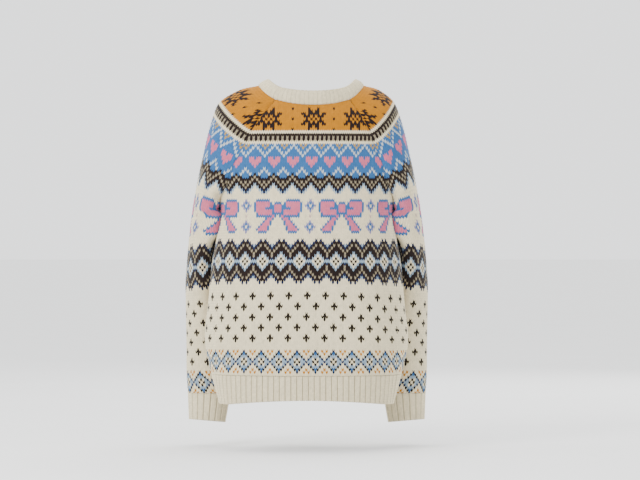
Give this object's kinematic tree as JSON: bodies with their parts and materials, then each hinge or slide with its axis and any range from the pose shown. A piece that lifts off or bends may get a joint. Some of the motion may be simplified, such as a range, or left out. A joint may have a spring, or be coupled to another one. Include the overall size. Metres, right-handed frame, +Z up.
{
  "type": "fair isle cardigan",
  "caption": "Hip-length knitted raglan cardigan with patterned bands, round neckband, ribbed cuffs and hem, buttoned down the front and held as worn.",
  "frame": {"origin": "midway between the two points where the neck seam crosses the tops of the shoulders, where the wearer's shoulders hold the garment up", "axes": "+Z up, -Y towards the wearer's front (the buttoned side), +Y towards the back, +X towards the wearer's left"},
  "size_m": [0.4704, 0.2893, 0.6654],
  "materials": {
    "knitted_wool": "matte stranded knit",
    "ribbed_wool": "matte rib knit",
    "buttons": "satin"
  },
  "bodies": {
    "root": {"back_panel": "knitted_wool", "front_left": "knitted_wool", "front_right": "knitted_wool", "sleeve_left": "knitted_wool", "sleeve_right": "knitted_wool", "neckband": "ribbed_wool", "hem_rib_back": "ribbed_wool", "hem_rib_front_left": "ribbed_wool", "hem_rib_front_right": "ribbed_wool", "cuff_left": "ribbed_wool", "cuff_right": "ribbed_wool", "button_band": "ribbed_wool", "buttonhole_band": "ribbed_wool", "button_1": "buttons", "button_2": "buttons", "button_3": "buttons", "button_4": "buttons", "button_5": "buttons", "button_6": "buttons", "button_7": "buttons"}
  },
  "joints": []
}
